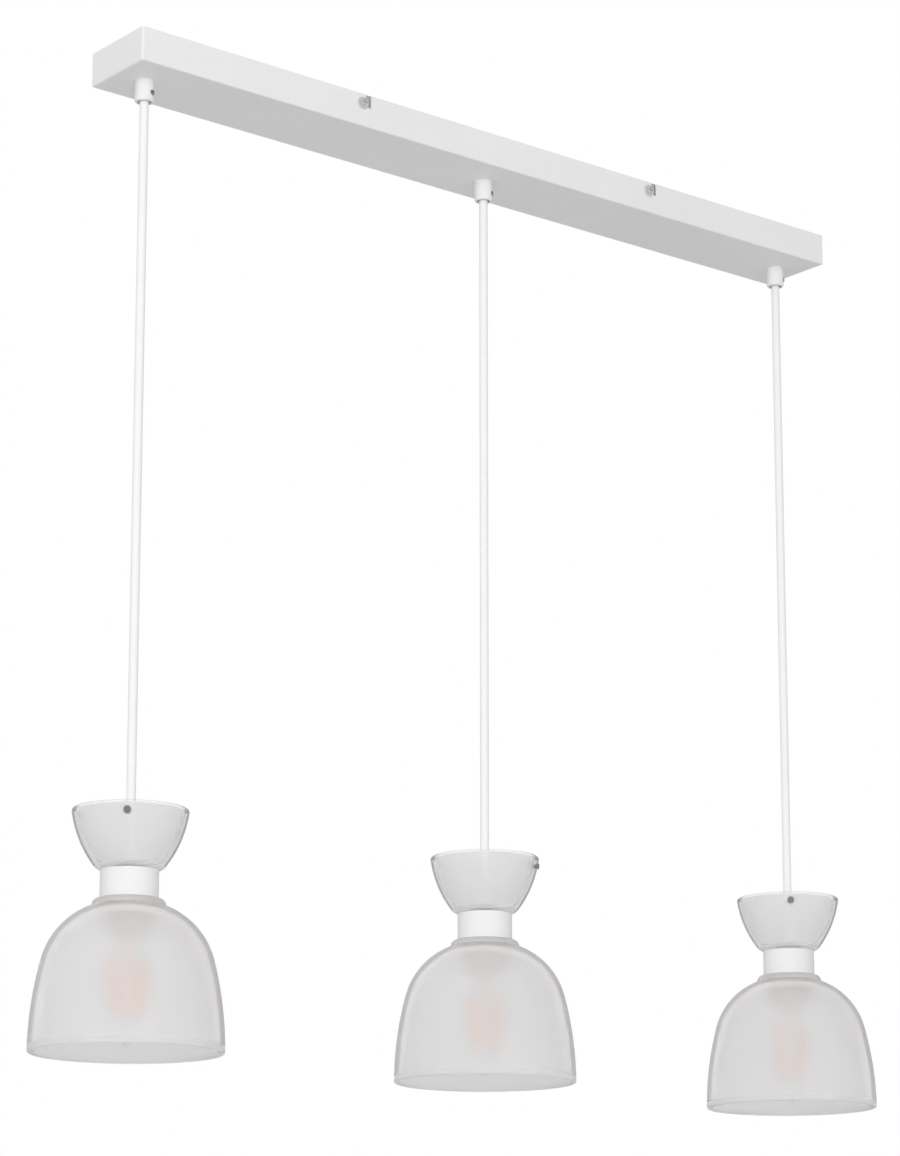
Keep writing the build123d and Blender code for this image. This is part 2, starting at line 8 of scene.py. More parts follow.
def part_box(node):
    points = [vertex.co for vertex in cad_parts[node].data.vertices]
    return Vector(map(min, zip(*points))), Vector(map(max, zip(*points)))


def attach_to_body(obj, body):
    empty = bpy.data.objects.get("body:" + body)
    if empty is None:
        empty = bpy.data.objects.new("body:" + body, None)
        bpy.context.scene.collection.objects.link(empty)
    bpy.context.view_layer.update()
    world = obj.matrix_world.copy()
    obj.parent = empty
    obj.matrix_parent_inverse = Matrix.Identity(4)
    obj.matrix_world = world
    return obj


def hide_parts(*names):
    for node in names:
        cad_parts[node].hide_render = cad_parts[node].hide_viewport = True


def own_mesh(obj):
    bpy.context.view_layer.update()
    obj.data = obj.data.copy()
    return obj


# The looks of a three-head island pendant. Metres, +Z up, the ceiling plane at z = 0, the
# canopy along X, its photographed long face towards -Y.
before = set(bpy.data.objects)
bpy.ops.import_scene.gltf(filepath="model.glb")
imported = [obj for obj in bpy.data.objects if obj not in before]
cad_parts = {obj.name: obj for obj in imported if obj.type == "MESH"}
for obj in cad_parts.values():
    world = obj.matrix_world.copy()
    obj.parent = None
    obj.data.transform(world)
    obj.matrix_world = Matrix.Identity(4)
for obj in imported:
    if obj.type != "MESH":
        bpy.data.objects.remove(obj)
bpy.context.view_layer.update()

MM = 0.001
HEADS = (1, 2, 3)

# ---- sizes, as in the parts ----
CORD_D = 6.0 * MM
GRIP_MOUTH_TO_PIVOT = 0.9 * MM
CUP_RIM_R = 37.0 * MM
CUP_HEIGHT = 38.5 * MM
CUP_WALL = 2.6 * MM
CUP_FLOOR = 3.2 * MM
CUP_ARC_R = 73.6 * MM
CUP_ARC_ABOVE = 8.6 * MM
CUP_HOLE_R = 5.3 * MM
CUP_HEEL_R = 3.0 * MM
COLLAR_HEIGHT = 18.0 * MM
BELL_RIM_R = 61.2 * MM
BELL_WALL = 2.8 * MM
BELL_SIDE_R = 232.0 * MM
BELL_SHOULDER_R = 49.0 * MM
BELL_SHOULDER_DEG = 14.6
BELL_LIP_R = 23.2 * MM
BELL_LIP_HEIGHT = 4.5 * MM
BELL_LIP_ROUND = 4.1 * MM
BELL_ROOF = 4.0 * MM
BELL_ROOF_R = 20.2 * MM
BELL_HOLE_R = 14.5 * MM
STUD_BELOW_RIM = 6.0 * MM
FILAMENTS = 4
FILAMENT_START = 20.0 * MM     # under the top of the lamp's stem

# ---- sizes of what is drawn in place of the parts' solids ----
SEAT_GAP = 0.1 * MM            # glass to metal, so that light gets between
CUP_HEEL_RISE = 0.75           # how far the heel's turn goes up the wall, as a share of its radius
CUP_HEEL_PULL = 0.8            # and how far out its corner lies
CUP_RIM_LEAN = 6               # degrees by which the rim's round leans with the wall
CUP_TURN_UP = 2.0 * MM         # the turn from the cup's floor to its wall goes this far up,
CUP_TURN_IN = 2.5 * MM         # this far along the floor,
CUP_TURN_CORNER = 0.3 * MM     # and has its corner this far in from the wall
STUD_SEAT = 0.15 * MM          # under the stud's head
STUD_TURNS = (-127.0, -41.0, -131.0)   # of each head's stud about its axis, degrees
STUD_HEAD = (                  # radius and height above the seat, mm, with the shank's start
    (0, 1.0), (0.9, 0.95), (1.6, 0.75), (2.1, 0.4), (2.3, 0.0), (2.3, -0.3), (1.5, -0.3),
)
STUD_NUT = (                   # with the shank's end
    (1.5, -3.4), (2.5, -3.4), (2.6, -3.6), (2.6, -4.7), (2.4, -4.9), (1.5, -4.9), (1.4, -5.4), (0, -5.4),
)
FILAMENT_R = 2.5 * MM
CAGE_TOP_R = 12.6 * MM
CAGE_FOOT_R = 7.4 * MM
CAGE_WIRE_R = 0.45 * MM
CAGE_RAISED = 1.0 * MM         # clear of the tapering bulb
HUB_BELOW = 1.0 * MM           # the upper wires' hub, under the filaments' tops
STEM_R = 1.5 * MM
STEM_BELOW = 2.0 * MM          # the stem's end, under the filaments' tops
BULB_WALL = 0.8 * MM
BULB_LINE = (                  # ends and corners of its turns, as shares of its radius and length
    (0.446, 0.04), (0.446, 0.11), (0.72, 0.19), (1.0, 0.272), (1.0, 0.375), (1.0, 0.57), (0.49, 0.8125),
    (0.1, 0.998), (0.0, 0.998),
)

# ---- camera, fitted to the outlines in the photograph (900 x 1156) ----
PHOTO_HEIGHT = 1156
FOCAL_PX = 3360.7
CAMERA_AT = (-1.4378, -1.7362, -0.8882)
CAMERA_YAW = 39.03             # degrees from +Y towards +X
CAMERA_TILT = 11.38            # degrees above the horizon
CAMERA_SHIFT = 0.15
SENSOR = 36.0

# ---- light ----
AMBIENT = 0.61                 # what matt surfaces see all round
LEFT = (-0.777, 0.63, 0.0)     # the side of the room with more light, left in the picture
LEANING = 0.34                 # how much more, as a share
BACKGROUND = 1.0               # what the camera sees
GLOSS = 0.68                   # what shiny surfaces see
THROUGH = 0.7                  # what etched glass sees behind it
KEY_WATTS = 65.0
KEY_AT = (-2.1, -3.35, -0.2)
KEY_AIM = (0, 0, -0.35)
KEY_SIZE = 1.8
FLOOR_Z = -1.6
FLOOR_SIZE = 12.0

# ---- surfaces ----
FINE = 0.00001                 # heights of a finish's relief, metres
EVEN = 0.00002
SMOOTH = 2.0                   # detail of a noise without much fine structure
MILKY = (0.96, 0.96, 0.96)     # a clear wall's milky share
MILKIER = (0.975, 0.975, 0.985)
MILK_THROUGH = 0.3             # share of light that a clear wall's milk lets on
SHEEN_SPREAD = 0.06            # of a clear wall's roughness
SATIN_THROUGH = 0.5            # share of light that an etched wall's milk lets on
SATIN_TINT = 0.98
SATIN_IOR = 1.1                # low, so that thin etched walls blur without bending much
CLOUDS = 18.0                  # scale of slow changes in the glass
WAVES = 140.0                  # of its uneven fire polish
ETCHING = 2200.0               # of its etched grain

# ---- meshes ----
ON_AXIS = 1e-7                 # a radius under this is a point on the axis
CREASE_DEG = 40                # edges that turn more than this stay crisp


def head_z(number):
    """Top of a head's collar."""
    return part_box(f"collar_{number}")[1].z


def head_x(number):
    low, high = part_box(f"collar_{number}")
    return (low.x + high.x) / 2


# ---------------------------------------------------------------- materials


def new_material(name):
    """A material with its nodes, its links and its shader."""
    material = bpy.data.materials.new(name)
    material.use_nodes = True
    nodes = material.node_tree.nodes
    return material, nodes, material.node_tree.links, nodes["Principled BSDF"]


def noise(nodes, links, scale, detail=3.0):
    """Noise in object space, in metres."""
    place = nodes.new("ShaderNodeTexCoord")
    texture = nodes.new("ShaderNodeTexNoise")
    texture.inputs["Scale"].default_value = scale
    texture.inputs["Detail"].default_value = detail
    links.new(place.outputs["Object"], texture.inputs["Vector"])
    return texture.outputs["Fac"]


def ramp(nodes, links, source, low, high, start=0.3, stop=0.7):
    """Colour from low to high as the source goes from start to stop."""
    node = nodes.new("ShaderNodeValToRGB")
    for element, position, colour in zip(node.color_ramp.elements, (start, stop), (low, high)):
        element.position = position
        element.color = (*colour, 1)
    links.new(source, node.inputs["Fac"])
    return node.outputs["Color"]


def grey(value):
    return (value, value, value)


def around(value, spread):
    """The two greys that lie a spread under and over a value."""
    return grey(value - spread), grey(value + spread)


def bump(nodes, links, source, distance, under=None):
    """Relief of a height in metres, on top of another one if given."""
    node = nodes.new("ShaderNodeBump")
    node.inputs["Distance"].default_value = distance
    node.inputs["Strength"].default_value = 1.0
    links.new(source, node.inputs["Height"])
    if under:
        links.new(under, node.inputs["Normal"])
    return node.outputs["Normal"]


def product(nodes, links, first, second):
    """Two colours multiplied."""
    node = nodes.new("ShaderNodeVectorMath")
    node.operation = "MULTIPLY"
    links.new(first, node.inputs[0])
    links.new(second, node.inputs[1])
    return node.outputs["Vector"]


def toward_edge(nodes, links, middle, edge, start, stop=1.0):
    """Colour that goes from middle to edge as the surface turns away from start to stop."""
    turned = nodes.new("ShaderNodeLayerWeight")
    turned.inputs["Blend"].default_value = 0.5
    return ramp(nodes, links, turned.outputs["Facing"], middle, edge, start, stop)


def mixed(nodes, links, share, first, second):
    """Mix of two shaders; share is how much of the second, as a number or a socket."""
    node = nodes.new("ShaderNodeMixShader")
    if isinstance(share, float):
        node.inputs["Fac"].default_value = share
    else:
        links.new(share, node.inputs["Fac"])
    links.new(first, node.inputs[1])
    links.new(second, node.inputs[2])
    return node.outputs[0]


def finish_of(name, low, high, rough, grain, depth=EVEN, cloud=25.0, metallic=0.0):
    """Opaque finish: slow colour clouds, fine grain in the relief and a roughness that varies."""
    material, nodes, links, shader = new_material(name)
    clouds = noise(nodes, links, cloud)
    fine = noise(nodes, links, grain, SMOOTH)
    links.new(ramp(nodes, links, clouds, low, high), shader.inputs["Base Color"])
    links.new(ramp(nodes, links, clouds, grey(rough[0]), grey(rough[1])), shader.inputs["Roughness"])
    links.new(bump(nodes, links, fine, depth), shader.inputs["Normal"])
    shader.inputs["Metallic"].default_value = metallic
    return material


def powder_coat():
    """White powder coat: orange peel about a millimetre across and a low sheen."""
    material, nodes, links, shader = new_material("powder_coat")
    peel = noise(nodes, links, 620.0, SMOOTH)
    fine = noise(nodes, links, 2600.0, SMOOTH)
    cloud = noise(nodes, links, 14.0)
    links.new(ramp(nodes, links, cloud, (0.865, 0.865, 0.87), grey(0.89)), shader.inputs["Base Color"])
    links.new(ramp(nodes, links, peel, grey(0.42), grey(0.54)), shader.inputs["Roughness"])
    relief = bump(nodes, links, peel, 0.00005)
    links.new(bump(nodes, links, fine, FINE, under=relief), shader.inputs["Normal"])
    return material


def milk(nodes, links, tone, passing):
    """Light-scattering body: white that sends light back, and on through for the passing share."""
    back = nodes.new("ShaderNodeBsdfDiffuse")
    through = nodes.new("ShaderNodeBsdfTranslucent")
    for side in (back, through):
        links.new(tone, side.inputs["Color"])
    return mixed(nodes, links, passing, back.outputs[0], through.outputs[0])


def clear_skin(name, middle, edge, turn, rough, ior, body=0.0, edge_dim=1.0):
    """Fire-polished face of a glass wall: see-through, with a milky body, and darker at its edge.

    The middle and edge are the greys of what shows through. The turn says where they start to
    change over and where they end, and the edge_dim darkens the body the same way.
    """
    material, nodes, links, shader = new_material(name)
    nodes.remove(shader)
    waves = noise(nodes, links, WAVES, SMOOTH)
    window = nodes.new("ShaderNodeBsdfTransparent")
    links.new(toward_edge(nodes, links, grey(middle), grey(edge), *turn), window.inputs["Color"])
    sheen = nodes.new("ShaderNodeBsdfGlossy")
    links.new(ramp(nodes, links, waves, grey(rough), grey(rough + SHEEN_SPREAD)), sheen.inputs["Roughness"])
    links.new(bump(nodes, links, waves, EVEN), sheen.inputs["Normal"])
    fresnel = nodes.new("ShaderNodeFresnel")
    fresnel.inputs["IOR"].default_value = ior
    pane = mixed(nodes, links, fresnel.outputs[0], window.outputs[0], sheen.outputs[0])
    if body > 0:
        clouds = ramp(nodes, links, noise(nodes, links, CLOUDS), MILKY, MILKIER)
        tone = product(nodes, links, clouds, toward_edge(nodes, links, grey(1.0), grey(edge_dim), *turn))
        pane = mixed(nodes, links, body, pane, milk(nodes, links, tone, MILK_THROUGH))
    links.new(pane, nodes["Material Output"].inputs["Surface"])
    return material


def satin_skin(name, rough, ior, body, tone, edge_tone, edge_tint):
    """Etched face of a glass wall: blurs what is behind it, with a milky body.

    The body goes from its tone to its edge tone where the face turns away, and the edge_tint
    darkens what shows through in the same way.
    """
    material, nodes, links, shader = new_material(name)
    fine = noise(nodes, links, ETCHING)
    clouds = ramp(nodes, links, noise(nodes, links, CLOUDS), *around(SATIN_TINT, spread=0.01))
    dimming = toward_edge(nodes, links, grey(1.0), grey(edge_tint), start=0.7)
    links.new(product(nodes, links, clouds, dimming), shader.inputs["Base Color"])
    links.new(ramp(nodes, links, fine, *around(rough, spread=0.05)), shader.inputs["Roughness"])
    links.new(bump(nodes, links, fine, FINE), shader.inputs["Normal"])
    shader.inputs["Transmission Weight"].default_value = 1.0
    shader.inputs["IOR"].default_value = ior
    body_tone = toward_edge(nodes, links, tone, edge_tone, start=0.6)
    scatter = milk(nodes, links, body_tone, SATIN_THROUGH)
    wall = mixed(nodes, links, body, shader.outputs[0], scatter)
    links.new(wall, nodes["Material Output"].inputs["Surface"])
    return material


def solid_finishes():
    """The opaque finishes, by a short name."""
    return {
        "coat": powder_coat(),
        "lacquer": finish_of(
            "collar_lacquer", grey(0.88), grey(0.9), rough=(0.3, 0.38), grain=900.0, depth=FINE
        ),
        "sheath": finish_of(
            "cord_sheath", (0.925, 0.925, 0.93), grey(0.95), rough=(0.38, 0.46), grain=500.0, cloud=40.0
        ),
        "moulding": finish_of(
            "white_moulding", grey(0.88), grey(0.91), rough=(0.32, 0.42), grain=1200.0, depth=FINE
        ),
        "block": finish_of(
            "block_moulding", (0.84, 0.84, 0.83), (0.88, 0.88, 0.87), rough=(0.4, 0.5), grain=900.0
        ),
        # Dark warm-grey moulding for the lampholders and shade rings. A dark holder is plausible, and this
        # dark tone also paints the shade at the top of each bell, seen through the glass.
        "dark_holder_and_shade": finish_of(
            "lampholder_tone_and_painted_shade", (0.46, 0.42, 0.38), (0.53, 0.48, 0.43), rough=(0.4, 0.5), grain=900.0
        ),
        "zinc": finish_of(
            "zinc_plate", (0.52, 0.53, 0.5), (0.66, 0.66, 0.6),
            rough=(0.28, 0.42), grain=300.0, cloud=60.0, metallic=1.0,
        ),
        "nickel": finish_of(
            "nickel", (0.72, 0.71, 0.7), (0.82, 0.81, 0.8),
            rough=(0.18, 0.3), grain=800.0, depth=FINE, cloud=90.0, metallic=1.0,
        ),
        # Dull dark steel for the cup screws and the grips' side screws. The screws are steel, and their
        # darkness also paints the shade on the cup screws and in the grips' screw holes.
        "steel": finish_of(
            "dull_steel", (0.3, 0.3, 0.29), (0.42, 0.41, 0.4),
            rough=(0.3, 0.45), grain=700.0, cloud=90.0, metallic=1.0,
        ),
        "brass": finish_of(
            "brass_sheet", (0.78, 0.58, 0.26), (0.86, 0.68, 0.36),
            rough=(0.22, 0.34), grain=500.0, depth=FINE, cloud=70.0, metallic=1.0,
        ),
        "cap": finish_of(
            "lamp_cap_metal", grey(0.74), grey(0.82),
            rough=(0.2, 0.3), grain=900.0, depth=FINE, cloud=80.0, metallic=1.0,
        ),
        "phosphor": finish_of(
            "phosphor", (0.95, 0.32, 0.08), (0.97, 0.39, 0.13),
            rough=(0.5, 0.6), grain=1500.0, cloud=300.0,
        ),
        "core": finish_of(
            "core_insulation", (0.36, 0.2, 0.1), (0.42, 0.25, 0.13),
            rough=(0.35, 0.45), grain=600.0, depth=FINE, cloud=60.0,
        ),
    }


def bell_glass():
    """Materials of the bell's outer side, inner side and bare edges."""
    outside = clear_skin(
        "bell_outside", 0.98, 0.92, turn=(0.65, 0.71), rough=0.08, ior=1.1, body=0.45, edge_dim=0.93
    )
    inside = satin_skin(
        "bell_inside", rough=0.92, ior=SATIN_IOR, body=0.35,
        tone=(0.945, 0.948, 0.965), edge_tone=(0.74, 0.74, 0.755), edge_tint=0.5,
    )
    lip = satin_skin(
        "bell_lip", rough=0.6, ior=SATIN_IOR, body=0.85,
        tone=(0.93, 0.925, 0.92), edge_tone=grey(0.86), edge_tint=1.0,
    )
    return outside, inside, lip


def cup_glass():
    """Materials of the cup's outer and inner side."""
    outside = clear_skin(
        "cup_outside", 0.985, 0.87, turn=(0.53, 0.62), rough=0.08, ior=1.04, body=0.22, edge_dim=0.9
    )
    inside = satin_skin(
        "cup_inside", rough=0.6, ior=1.07, body=0.55,
        tone=(0.945, 0.945, 0.95), edge_tone=(0.8, 0.8, 0.81), edge_tint=0.7,
    )
    return outside, inside


# ---------------------------------------------------------------- meshes


def arc(centre, radius, start_deg, end_deg, steps):
    """Points of an arc in the (radius, height) plane."""
    turns = [math.radians(start_deg + (end_deg - start_deg) * i / steps) for i in range(steps + 1)]
    return [(centre[0] + radius * math.cos(t), centre[1] + radius * math.sin(t)) for t in turns]


def curve_between(start, corner, end, steps):
    """Points of a smooth turn from start to end, drawn towards the corner."""
    points = []
    for i in range(steps + 1):
        t = i / steps
        points.append(tuple(
            (1 - t) ** 2 * a + 2 * t * (1 - t) * b + t**2 * c for a, b, c in zip(start, corner, end)
        ))
    return points


def lathe(name, outline, sides, closed=True):
    """Mesh swept by an outline of (radius, height, material index) about the Z axis."""
    mesh = bpy.data.meshes.new(name)
    form = bmesh.new()
    turns = [2 * math.pi * i / sides for i in range(sides)]
    rings = []
    for radius, height, _ in outline:
        if radius < ON_AXIS:
            rings.append([form.verts.new((0, 0, height))])
            continue
        rings.append([form.verts.new((radius * math.cos(t), radius * math.sin(t), height)) for t in turns])
    count = len(rings)
    for k in range(count if closed else count - 1):
        ring, after = rings[k], rings[(k + 1) % count]
        if len(ring) == 1 and len(after) == 1:
            continue
        for i in range(sides):
            j = (i + 1) % sides
            if len(ring) == 1:
                corners = (ring[0], after[j], after[i])
            elif len(after) == 1:
                corners = (ring[i], ring[j], after[0])
            else:
                corners = (ring[i], ring[j], after[j], after[i])
            face = form.faces.new(corners)
            face.material_index = outline[k][2]
            face.smooth = True
    bmesh.ops.recalc_face_normals(form, faces=form.faces)
    form.to_mesh(mesh)
    form.free()
    piece = bpy.data.objects.new(name, mesh)
    bpy.context.scene.collection.objects.link(piece)
    return piece


def sharpen(piece):
    """Keeps edges crisp where the form really turns a corner."""
    form = bmesh.new()
    form.from_mesh(piece.data)
    for edge in form.edges:
        if len(edge.link_faces) == 2 and edge.calc_face_angle(0) > math.radians(CREASE_DEG):
            edge.smooth = False
    form.to_mesh(piece.data)
    form.free()


def coat(piece, *materials):
    """Gives a piece its materials, in the order of its outline's indices."""
    for material in materials:
        piece.data.materials.append(material)
    return piece


def settle(piece, place, *materials):
    """Moves a piece's mesh to its place and gives it its materials."""
    piece.data.transform(place)
    return coat(piece, *materials)


def marked(points, index):
    """Points of an outline, each with the index of the material that starts there."""
    return [(radius, height, index) for radius, height in points]


def bell_outline():
    """Outer side, lip, hole and inner side of the bell, from its rim up, heights from the collar's top."""
    outer, inner, bare = 0, 1, 2
    top = -COLLAR_HEIGHT - SEAT_GAP
    side_x = BELL_RIM_R - BELL_SIDE_R
    reach = BELL_SIDE_R - BELL_SHOULDER_R
    shoulder = (
        side_x + reach * math.cos(math.radians(BELL_SHOULDER_DEG)),
        reach * math.sin(math.radians(BELL_SHOULDER_DEG)),
    )
    dome = shoulder[1] + math.sqrt(BELL_SHOULDER_R**2 - (BELL_LIP_R - shoulder[0]) ** 2)
    rim = top - BELL_LIP_HEIGHT - dome
    shoulder = (shoulder[0], rim + shoulder[1])
    half = BELL_WALL / 2

    def shoulder_end(inset, end_r):
        return math.degrees(math.acos((end_r - shoulder[0]) / (BELL_SHOULDER_R - inset)))

    bead = arc((BELL_RIM_R - half, rim + half), half, 180, 360, steps=10)
    side = arc(
        (side_x, rim), BELL_SIDE_R, math.degrees(math.asin(half / BELL_SIDE_R)), BELL_SHOULDER_DEG, steps=22
    )
    crown = arc(shoulder, BELL_SHOULDER_R, BELL_SHOULDER_DEG, shoulder_end(0, BELL_LIP_R), steps=26)
    lip = arc((BELL_LIP_R - BELL_LIP_ROUND, top - BELL_LIP_ROUND), BELL_LIP_ROUND, 0, 90, steps=10)
    hole = [(BELL_HOLE_R, top), (BELL_HOLE_R, top - BELL_ROOF), (BELL_ROOF_R, top - BELL_ROOF)]
    crown_in = arc(
        shoulder, BELL_SHOULDER_R - BELL_WALL, shoulder_end(BELL_WALL, BELL_ROOF_R), BELL_SHOULDER_DEG,
        steps=26,
    )
    side_in = arc(
        (side_x, rim), BELL_SIDE_R - BELL_WALL, BELL_SHOULDER_DEG,
        math.degrees(math.asin(half / (BELL_SIDE_R - BELL_WALL))), steps=22,
    )
    return (
        marked(bead, bare) + marked(side[1:] + crown[1:], outer) + marked(lip + hole[:2], bare)
        + marked(hole[2:] + crown_in + side_in[1:-1], inner)
    )


def cup_centre():
    """Centre of the arc of the cup's wall, as radius and height from the collar's top."""
    return (CUP_RIM_R - math.sqrt(CUP_ARC_R**2 - CUP_ARC_ABOVE**2), CUP_HEIGHT + CUP_ARC_ABOVE)


def cup_outline():
    """Heel, outer wall, rim and inner wall of the cup, heights from the collar's top."""
    outer, inner = 0, 1
    centre = cup_centre()
    rim_z = CUP_HEIGHT - CUP_WALL / 2

    def wall(inset, low, high, steps):
        radius = CUP_ARC_R - inset
        first = -math.degrees(math.asin((centre[1] - low) / radius))
        last = -math.degrees(math.asin((centre[1] - high) / radius))
        return arc(centre, radius, first, last, steps)

    outside = wall(0, CUP_HEEL_RISE * CUP_HEEL_R, rim_z, steps=26)
    foot_r = wall(0, 0, CUP_HEIGHT, steps=1)[0][0] - CUP_HEEL_R
    heel_corner = (foot_r + CUP_HEEL_PULL * CUP_HEEL_R, SEAT_GAP)
    heel = curve_between((foot_r, SEAT_GAP), heel_corner, outside[0], steps=8)
    tip = wall(CUP_WALL / 2, 0, rim_z, steps=1)[1]
    rim = arc(tip, CUP_WALL / 2, -CUP_RIM_LEAN, 180 - CUP_RIM_LEAN, steps=10)
    inside = wall(CUP_WALL, CUP_FLOOR + CUP_TURN_UP, rim_z, steps=24)[::-1]
    floor_r = wall(CUP_WALL, CUP_FLOOR, CUP_HEIGHT, steps=1)[0][0]
    hollow = curve_between(
        inside[-1], (floor_r - CUP_TURN_CORNER, CUP_FLOOR), (floor_r - CUP_TURN_IN, CUP_FLOOR), steps=6
    )
    return (
        marked([(CUP_HOLE_R, SEAT_GAP), *heel[:-1]], inner) + marked(outside[:-1] + rim[:-1], outer)
        + marked(inside[:-1] + hollow, inner) + marked([(CUP_HOLE_R, CUP_FLOOR)], outer)
    )


def rod_between(name, start, end, radius, sides):
    """Rounded rod from one point to another."""
    reach = (end - start).length
    cap = arc((0, radius), radius, -90, 0, steps=5)
    top = arc((0, reach - radius), radius, 0, 90, steps=5)
    rod = lathe(name, marked(cap + top, 0), sides, closed=False)
    turn = (end - start).to_track_quat("Z", "Y").to_matrix().to_4x4()
    rod.data.transform(Matrix.Translation(start) @ turn)
    return rod


def joined(name, pieces):
    """One piece made of several meshes."""
    form = bmesh.new()
    for piece in pieces:
        form.from_mesh(piece.data)
        bpy.data.objects.remove(piece)
    mesh = bpy.data.meshes.new(name)
    form.to_mesh(mesh)
    form.free()
    whole = bpy.data.objects.new(name, mesh)
    bpy.context.scene.collection.objects.link(whole)
    return whole


def filament_cage(number):
    """Glass stem with four leaning filaments, wider where the bulb is."""
    low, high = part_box(f"lamp_filaments_{number}")
    x = (low.x + high.x) / 2
    top, bottom = high.z - FILAMENT_START, low.z + CAGE_RAISED
    hub = Vector((x, 0, top - HUB_BELOW))
    foot = Vector((x, 0, bottom))
    stem_end, stem_top = Vector((x, 0, top - STEM_BELOW)), Vector((x, 0, high.z))
    rods = [rod_between("stem", stem_end, stem_top, STEM_R, sides=20)]
    for i in range(FILAMENTS):
        turn = math.radians(360 / FILAMENTS * i)
        outward = Vector((math.cos(turn), math.sin(turn), 0))
        upper = Vector((x, 0, top)) + CAGE_TOP_R * outward
        lower = foot + CAGE_FOOT_R * outward
        rods.append(rod_between("filament", lower, upper, FILAMENT_R, sides=20))
        rods.append(rod_between("spoke", hub, upper, CAGE_WIRE_R, sides=10))
        rods.append(rod_between("spoke", foot, lower, CAGE_WIRE_R, sides=10))
    return joined(f"filament_cage_{number}", rods)


def lamp_bulb(number):
    """Candle bulb with a drawn-out rounded tip, open at its neck."""
    low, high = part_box(f"lamp_glass_{number}")
    radius, length = (high.x - low.x) / 2, high.z - low.z
    ends = [(share * radius, -down * length) for share, down in BULB_LINE]
    skin = [(ends[0][0], 0)]
    for start, corner, end in zip(ends[::2], ends[1::2], ends[2::2]):
        skin += curve_between(start, corner, end, steps=14)[:-1]
    skin.append(ends[-1])
    tip = skin[-1][1] + BULB_WALL
    lining = [(max(r - BULB_WALL, 0), max(z, tip)) for r, z in skin if r > BULB_WALL]
    outline = marked(skin + [(0, tip)] + lining[::-1], 0)
    bulb = lathe(f"lamp_bulb_{number}", outline, sides=64)
    sharpen(bulb)
    bulb.data.transform(Matrix.Translation(((low.x + high.x) / 2, 0, high.z)))
    return bulb


def cup_stud(number, turn):
    """Low screw head on the cup, with its shank and nut, along the hole near the rim."""
    z = CUP_HEIGHT - STUD_BELOW_RIM
    centre_x, centre_z = cup_centre()
    seat = centre_x + math.sqrt(CUP_ARC_R**2 - (centre_z - z) ** 2) + STUD_SEAT
    outline = [(r * MM, h * MM) for r, h in STUD_HEAD + STUD_NUT]
    stud = lathe(f"cup_stud_{number}", marked(outline, 0), sides=32, closed=False)
    sharpen(stud)
    stud.data.transform(
        Matrix.Rotation(math.radians(turn), 4, "Z") @ Matrix.Translation((seat, 0, z))
        @ Matrix.Rotation(math.radians(90), 4, "Y")
    )
    return stud


# ---------------------------------------------------------------- cords


def route_line(points, name):
    """Points on the smooth line of a cord's route."""
    curve = bpy.data.curves.new(name, "CURVE")
    curve.dimensions = "3D"
    spline = curve.splines.new("NURBS")
    spline.points.add(len(points) - 1)
    for point, place in zip(spline.points, points):
        point.co = (*place, 1)
    spline.order_u = 3
    spline.use_endpoint_u = True
    spline.resolution_u = 16
    holder = bpy.data.objects.new(name, curve)
    bpy.context.scene.collection.objects.link(holder)
    drawn = bpy.data.meshes.new_from_object(holder)
    line = [v.co.copy() for v in drawn.vertices]
    bpy.data.objects.remove(holder)
    bpy.data.meshes.remove(drawn)
    return line


def straight_tube(name, line, radius):
    """Round tube along an upright line, closed at both ends."""
    skin = [(0, line[0].z), *((radius, point.z) for point in line), (0, line[-1].z)]
    tube = lathe(name, marked(skin, 0), sides=32, closed=False)
    tube.data.transform(Matrix.Translation((line[0].x, line[0].y, 0)))
    sharpen(tube)
    return tube


def hang_cord(number, sheath):
    """The straight free cord of one head, from the bend in the grip down into the cup."""
    low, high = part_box(f"cord_{number}")
    x = (low.x + high.x) / 2
    exit_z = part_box(f"cord_gland_{number}")[0].z + GRIP_MOUTH_TO_PIVOT
    end_z = low.z
    route = [(x, 0, exit_z), (x, 0, (exit_z + end_z) / 2), (x, 0, end_z)]
    line = route_line(route, f"route_{number}")
    cord = coat(straight_tube(f"pendant_cord_{number}", line, CORD_D / 2), sheath)
    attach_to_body(cord, f"drop_{number}")
    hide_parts(f"cord_{number}")
    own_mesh(cord)


# ---------------------------------------------------------------- camera, light and stage


def set_camera():
    data = bpy.data.cameras.new("camera")
    data.sensor_width = SENSOR
    data.lens = FOCAL_PX / PHOTO_HEIGHT * SENSOR
    data.shift_y = CAMERA_SHIFT
    camera = bpy.data.objects.new("camera", data)
    camera.location = CAMERA_AT
    camera.rotation_euler = (math.radians(90 + CAMERA_TILT), 0, -math.radians(CAMERA_YAW))
    bpy.context.scene.collection.objects.link(camera)
    bpy.context.scene.camera = camera


def glow(nodes, strength):
    """White surround of a strength."""
    node = nodes.new("ShaderNodeBackground")
    node.inputs["Color"].default_value = (1, 1, 1, 1)
    node.inputs["Strength"].default_value = strength
    return node


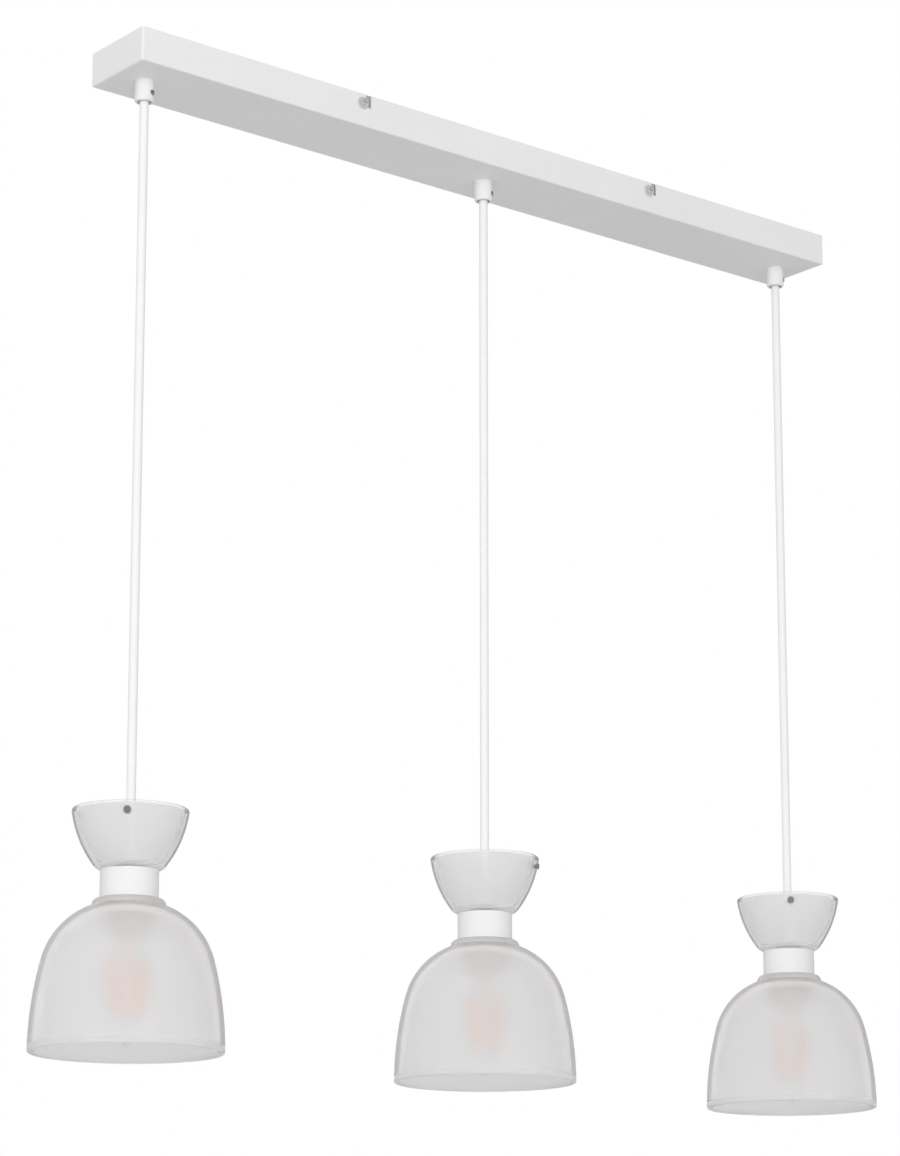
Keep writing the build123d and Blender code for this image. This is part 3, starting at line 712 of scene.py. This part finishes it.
def set_world():
    """Soft light for matt surfaces, white for the camera, and its own tones for gloss and glass."""
    world = bpy.data.worlds.new("studio")
    world.use_nodes = True
    nodes, links = world.node_tree.nodes, world.node_tree.links
    nodes.clear()
    place = nodes.new("ShaderNodeTexCoord")
    side = nodes.new("ShaderNodeVectorMath")
    side.operation = "DOT_PRODUCT"
    side.inputs[1].default_value = LEFT
    links.new(place.outputs["Generated"], side.inputs[0])
    strength = nodes.new("ShaderNodeMath")
    strength.operation = "MULTIPLY_ADD"
    strength.inputs[1].default_value = AMBIENT * LEANING
    strength.inputs[2].default_value = AMBIENT
    links.new(side.outputs["Value"], strength.inputs[0])
    ambient = glow(nodes, AMBIENT)
    links.new(strength.outputs[0], ambient.inputs["Strength"])

    path = nodes.new("ShaderNodeLightPath")
    light = ambient.outputs[0]
    tones = (("Is Glossy Ray", GLOSS), ("Is Camera Ray", BACKGROUND), ("Is Transmission Ray", THROUGH))
    for ray, tone in tones:
        light = mixed(nodes, links, path.outputs[ray], light, glow(nodes, tone).outputs[0])
    output = nodes.new("ShaderNodeOutputWorld")
    links.new(light, output.inputs["Surface"])
    bpy.context.scene.world = world


def add_key():
    data = bpy.data.lights.new("key", "AREA")
    data.shape = "SQUARE"
    data.size = KEY_SIZE
    data.energy = KEY_WATTS
    key = bpy.data.objects.new("key", data)
    key.location = KEY_AT
    aim = Vector(KEY_AIM) - Vector(KEY_AT)
    key.rotation_euler = aim.to_track_quat("-Z", "Y").to_euler()
    key.visible_glossy = False
    bpy.context.scene.collection.objects.link(key)


def add_floor():
    mesh = bpy.data.meshes.new("floor")
    half = FLOOR_SIZE / 2
    mesh.from_pydata(
        [(-half, -half, FLOOR_Z), (half, -half, FLOOR_Z), (half, half, FLOOR_Z), (-half, half, FLOOR_Z)],
        [], [(0, 1, 2, 3)],
    )
    floor = bpy.data.objects.new("floor", mesh)
    bpy.context.scene.collection.objects.link(floor)
    paint = finish_of("floor_paint", grey(0.76), grey(0.78), (0.7, 0.8), 60.0, depth=0.0002, cloud=1.5)
    mesh.materials.append(paint)
    floor.visible_glossy = False


# ---------------------------------------------------------------- the pendant


def dress(node, material):
    """A carried-over part keeps its mesh and gets its finish."""
    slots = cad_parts[node].data.materials
    slots.clear()
    slots.append(material)


def attach(piece, body, node):
    """A drawn piece moves with a body and stands for one of its nodes."""
    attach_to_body(piece, body)
    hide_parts(node)


def dress_canopy(finishes):
    """Finishes of what stays at the ceiling."""
    wear = {
        "canopy_cover": "coat", "ceiling_bracket": "zinc", "block_nut": "zinc", "gland_nuts": "zinc",
        "terminal_block": "block", "core_wires": "core", "cord_tails": "sheath", "cover_screws": "nickel",
        "gland_screws": "steel",
    }
    for node, finish in wear.items():
        dress(node, finishes[finish])


def dress_head(number, finishes, bulb):
    """Finishes of a head's carried-over parts."""
    wear = {
        "cord_gland": "moulding", "cord_bend": "sheath", "cord_end": "sheath", "inner_grip": "moulding",
        "nipple": "zinc", "cup_screw": "steel", "collar": "lacquer", "lampholder": "dark_holder_and_shade",
        "contacts": "brass", "shade_ring": "dark_holder_and_shade", "lamp_cap": "cap", "lamp_filaments": "phosphor",
    }
    for part, finish in wear.items():
        dress(f"{part}_{number}", finishes[finish])
    dress(f"lamp_glass_{number}", bulb)


def draw_head(number, finishes, bell_skins, cup_skins, bulb):
    """The glasses, the lamp, the stud and the cord that are drawn in place of a head's solids."""
    head, lamp = f"head_{number}", f"lamp_{number}"
    place = Matrix.Translation((head_x(number), 0, head_z(number)))
    bell = settle(lathe(f"bell_shade_{number}", bell_outline(), sides=192), place, *bell_skins)
    sharpen(bell)
    attach(bell, head, f"bell_glass_{number}")
    cup = settle(lathe(f"cup_shade_{number}", cup_outline(), sides=160), place, *cup_skins)
    sharpen(cup)
    attach(cup, head, f"cup_glass_{number}")
    glass = coat(lamp_bulb(number), bulb)
    attach(glass, lamp, f"lamp_glass_{number}")
    cage = coat(filament_cage(number), finishes["phosphor"])
    attach(cage, lamp, f"lamp_filaments_{number}")
    stud = settle(cup_stud(number, STUD_TURNS[number - 1]), place, finishes["steel"])
    attach(stud, head, f"cup_screw_{number}")
    hang_cord(number, finishes["sheath"])


def main():
    set_camera()
    set_world()
    add_key()
    add_floor()
    bpy.context.scene.view_settings.view_transform = "Standard"
    finishes = solid_finishes()
    bell_skins, cup_skins = bell_glass(), cup_glass()
    bulb = clear_skin("bulb_glass", 0.995, 0.985, (0.6, 1.0), 0.03, 1.03)
    dress_canopy(finishes)
    for number in HEADS:
        dress_head(number, finishes, bulb)
        draw_head(number, finishes, bell_skins, cup_skins, bulb)


main()
